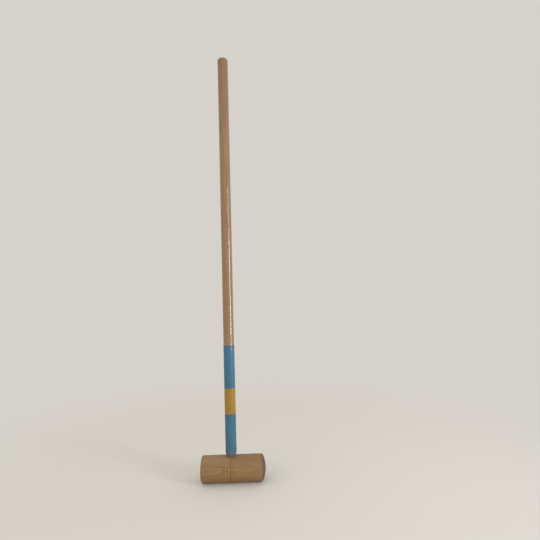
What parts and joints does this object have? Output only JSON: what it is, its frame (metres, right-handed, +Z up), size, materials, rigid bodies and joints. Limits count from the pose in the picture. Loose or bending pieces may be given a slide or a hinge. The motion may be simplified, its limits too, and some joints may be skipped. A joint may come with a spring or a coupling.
{
  "type": "croquet mallet",
  "caption": "Wooden garden croquet mallet: short turned cylindrical head with one flat and one domed striking face and a sight groove, and a long round dowel handle with painted bands above the head.",
  "frame": {"origin": "middle of the lowest line of the head, on which the mallet stands head down, which is the bottom centre of its box", "axes": "+Z up along the handle, +X along the head from the flat striking face to the domed one, -Y the side that faces the viewer; the handle's axis is the line X = -4.5 mm, Y = 0"},
  "size_m": [0.118, 0.0466, 0.8],
  "materials": {
    "head_wood": "clear satin varnish over light turned hardwood",
    "handle_wood": "clear gloss varnish over light hardwood dowel",
    "blue_paint": "brushed satin paint, mid blue",
    "yellow_paint": "brushed satin paint, warm yellow",
    "dried_glue": "dried wood glue"
  },
  "bodies": {
    "root": {"mallet_head": "head_wood", "handle_shaft": "handle_wood", "joint_glue": "dried_glue", "lower_blue_coat": "blue_paint", "middle_yellow_coat": "yellow_paint", "upper_blue_coat": "blue_paint"}
  },
  "joints": []
}
